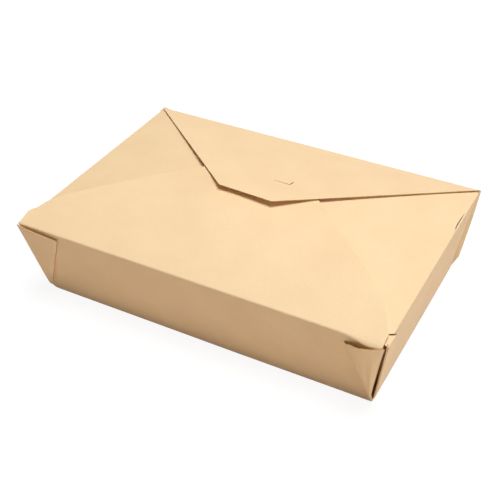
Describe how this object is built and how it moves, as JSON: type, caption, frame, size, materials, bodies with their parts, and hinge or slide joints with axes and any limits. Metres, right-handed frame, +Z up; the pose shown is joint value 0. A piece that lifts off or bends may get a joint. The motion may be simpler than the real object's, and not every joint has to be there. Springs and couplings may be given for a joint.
{
  "type": "takeaway box",
  "caption": "Shallow folded kraft board food box with leaning walls, folded web corners and a four-flap lid whose outer flap swings open.",
  "frame": {"origin": "centre of the base's underside", "axes": "+X along the long side, +Y from the front wall to the back wall, +Z up from the base"},
  "size_m": [0.2162, 0.1574, 0.0684],
  "materials": {
    "kraft_board": "matte uncoated fibre"
  },
  "bodies": {
    "carton": {"carton": "kraft_board"},
    "lid_flap": {"back_flap": "kraft_board"}
  },
  "joints": [
    {"name": "back_flap_hinge", "type": "hinge", "parent": "carton", "child": "lid_flap", "pos_m": [0, 0.07497, 0.0505], "axis": [-1, 0, 0], "range_deg": [0, 175]}
  ]
}
